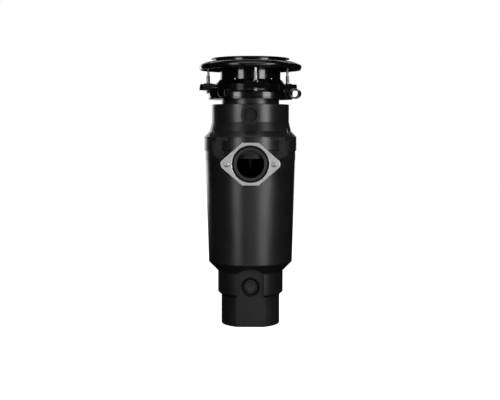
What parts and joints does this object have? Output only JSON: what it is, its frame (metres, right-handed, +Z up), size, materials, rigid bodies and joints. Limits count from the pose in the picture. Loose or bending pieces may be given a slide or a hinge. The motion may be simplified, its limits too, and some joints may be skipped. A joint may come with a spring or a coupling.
{
  "type": "kitchen garbage disposal",
  "caption": "Slim black kitchen garbage disposal with a clamp-on sink mount, grinding chamber, side discharge plate and stepped motor base.",
  "frame": {"origin": "centre of the flat bottom, on the axis of the motor and the sink flange", "axes": "+Z up along the axis, -Y to the front where the discharge and the reset button are, +X to the right seen from the front"},
  "size_m": [0.1495, 0.1514, 0.3858],
  "materials": {
    "housing_plastic": "satin black moulded plastic",
    "chamber_plastic": "satin black moulded plastic",
    "cover_steel": "black painted sheet steel",
    "zinc_steel": "bright zinc plated steel",
    "ground_green": "green plated steel",
    "protector_plastic": "black moulded plastic",
    "button_plastic": "smooth black plastic",
    "spring_steel": "bright spring wire",
    "board_green": "circuit board laminate",
    "rectifier_epoxy": "black epoxy",
    "foam": "grey foam",
    "cast_alloy": "die-cast alloy",
    "bearing_steel": "ground steel",
    "holder_phenolic": "brown phenolic",
    "carbon": "carbon",
    "copper": "enamelled copper",
    "can_steel": "grey plated steel",
    "ferrite": "sintered ferrite",
    "lamination": "stacked steel sheets",
    "black_rubber": "black moulded rubber",
    "outlet_metal": "satin light grey metal",
    "stainless": "stainless steel",
    "mount_black": "glossy black coated steel",
    "flange_black": "glossy black coated steel"
  },
  "bodies": {
    "housing": {"base_housing": "housing_plastic", "base_cover": "cover_steel", "base_screws": "zinc_steel", "ground_screw": "ground_green", "overload_protector": "protector_plastic", "reset_spring": "spring_steel", "circuit_board": "board_green", "bridge_rectifier": "rectifier_epoxy", "outer_shell": "housing_plastic", "sound_insulation": "foam", "end_bell": "cast_alloy", "lower_bearing": "bearing_steel", "housing_screws": "zinc_steel", "brush_holders": "holder_phenolic", "brushes": "carbon", "brush_springs": "copper", "motor_can": "can_steel", "magnets": "ferrite", "through_bolts": "zinc_steel", "upper_end_bell": "cast_alloy", "upper_bearing": "bearing_steel", "drain_chamber": "chamber_plastic", "shaft_seal": "black_rubber", "outlet_gasket": "black_rubber", "outlet_flange": "outlet_metal", "outlet_screws": "zinc_steel", "hopper_seal": "black_rubber", "hopper": "housing_plastic", "hopper_screws": "zinc_steel", "dishwasher_knockout": "chamber_plastic", "grind_ring": "stainless", "mounting_cushion": "black_rubber", "upper_mounting_ring": "mount_black", "snap_ring": "spring_steel", "mounting_screws": "zinc_steel", "sink_flange": "flange_black", "flange_gasket": "black_rubber", "support_ring": "mount_black"},
    "rotor": {"motor_shaft": "bearing_steel", "armature_core": "lamination", "armature_windings": "copper", "commutator": "copper", "grinding_disc": "stainless", "impeller_pins": "stainless", "disc_nut": "stainless"},
    "swivel_a": {"impeller_a": "stainless"},
    "swivel_b": {"impeller_b": "stainless"},
    "turning_ring": {"lower_mounting_ring": "mount_black"},
    "button": {"reset_button": "button_plastic"},
    "guard": {"splash_guard": "black_rubber"}
  },
  "joints": [
    {"name": "rotor_spin", "type": "hinge", "parent": "housing", "child": "rotor", "pos_m": [0, 0, 0.2], "axis": [0, 0, 1], "continuous": true},
    {"name": "impeller_a_swivel", "type": "hinge", "parent": "rotor", "child": "swivel_a", "pos_m": [0.0303, 0, 0.2586], "axis": [0, 0, 1], "continuous": true},
    {"name": "impeller_b_swivel", "type": "hinge", "parent": "rotor", "child": "swivel_b", "pos_m": [-0.0303, 0, 0.2586], "axis": [0, 0, 1], "continuous": true},
    {"name": "mount_ring_turn", "type": "hinge", "parent": "housing", "child": "turning_ring", "pos_m": [0, 0, 0.3308], "axis": [0, 0, 1], "range_deg": [-40, 0]},
    {"name": "reset_button_press", "type": "slide", "parent": "housing", "child": "button", "axis": [0, 1, 0], "range_m": [0, 0.003], "stiffness_N_per_m": 600, "springref_m": -0.001, "deforming": ["reset_spring"]},
    {"name": "splash_guard_lift", "type": "slide", "parent": "housing", "child": "guard", "axis": [0, 0, 1], "range_m": [0, 0.05]}
  ]
}
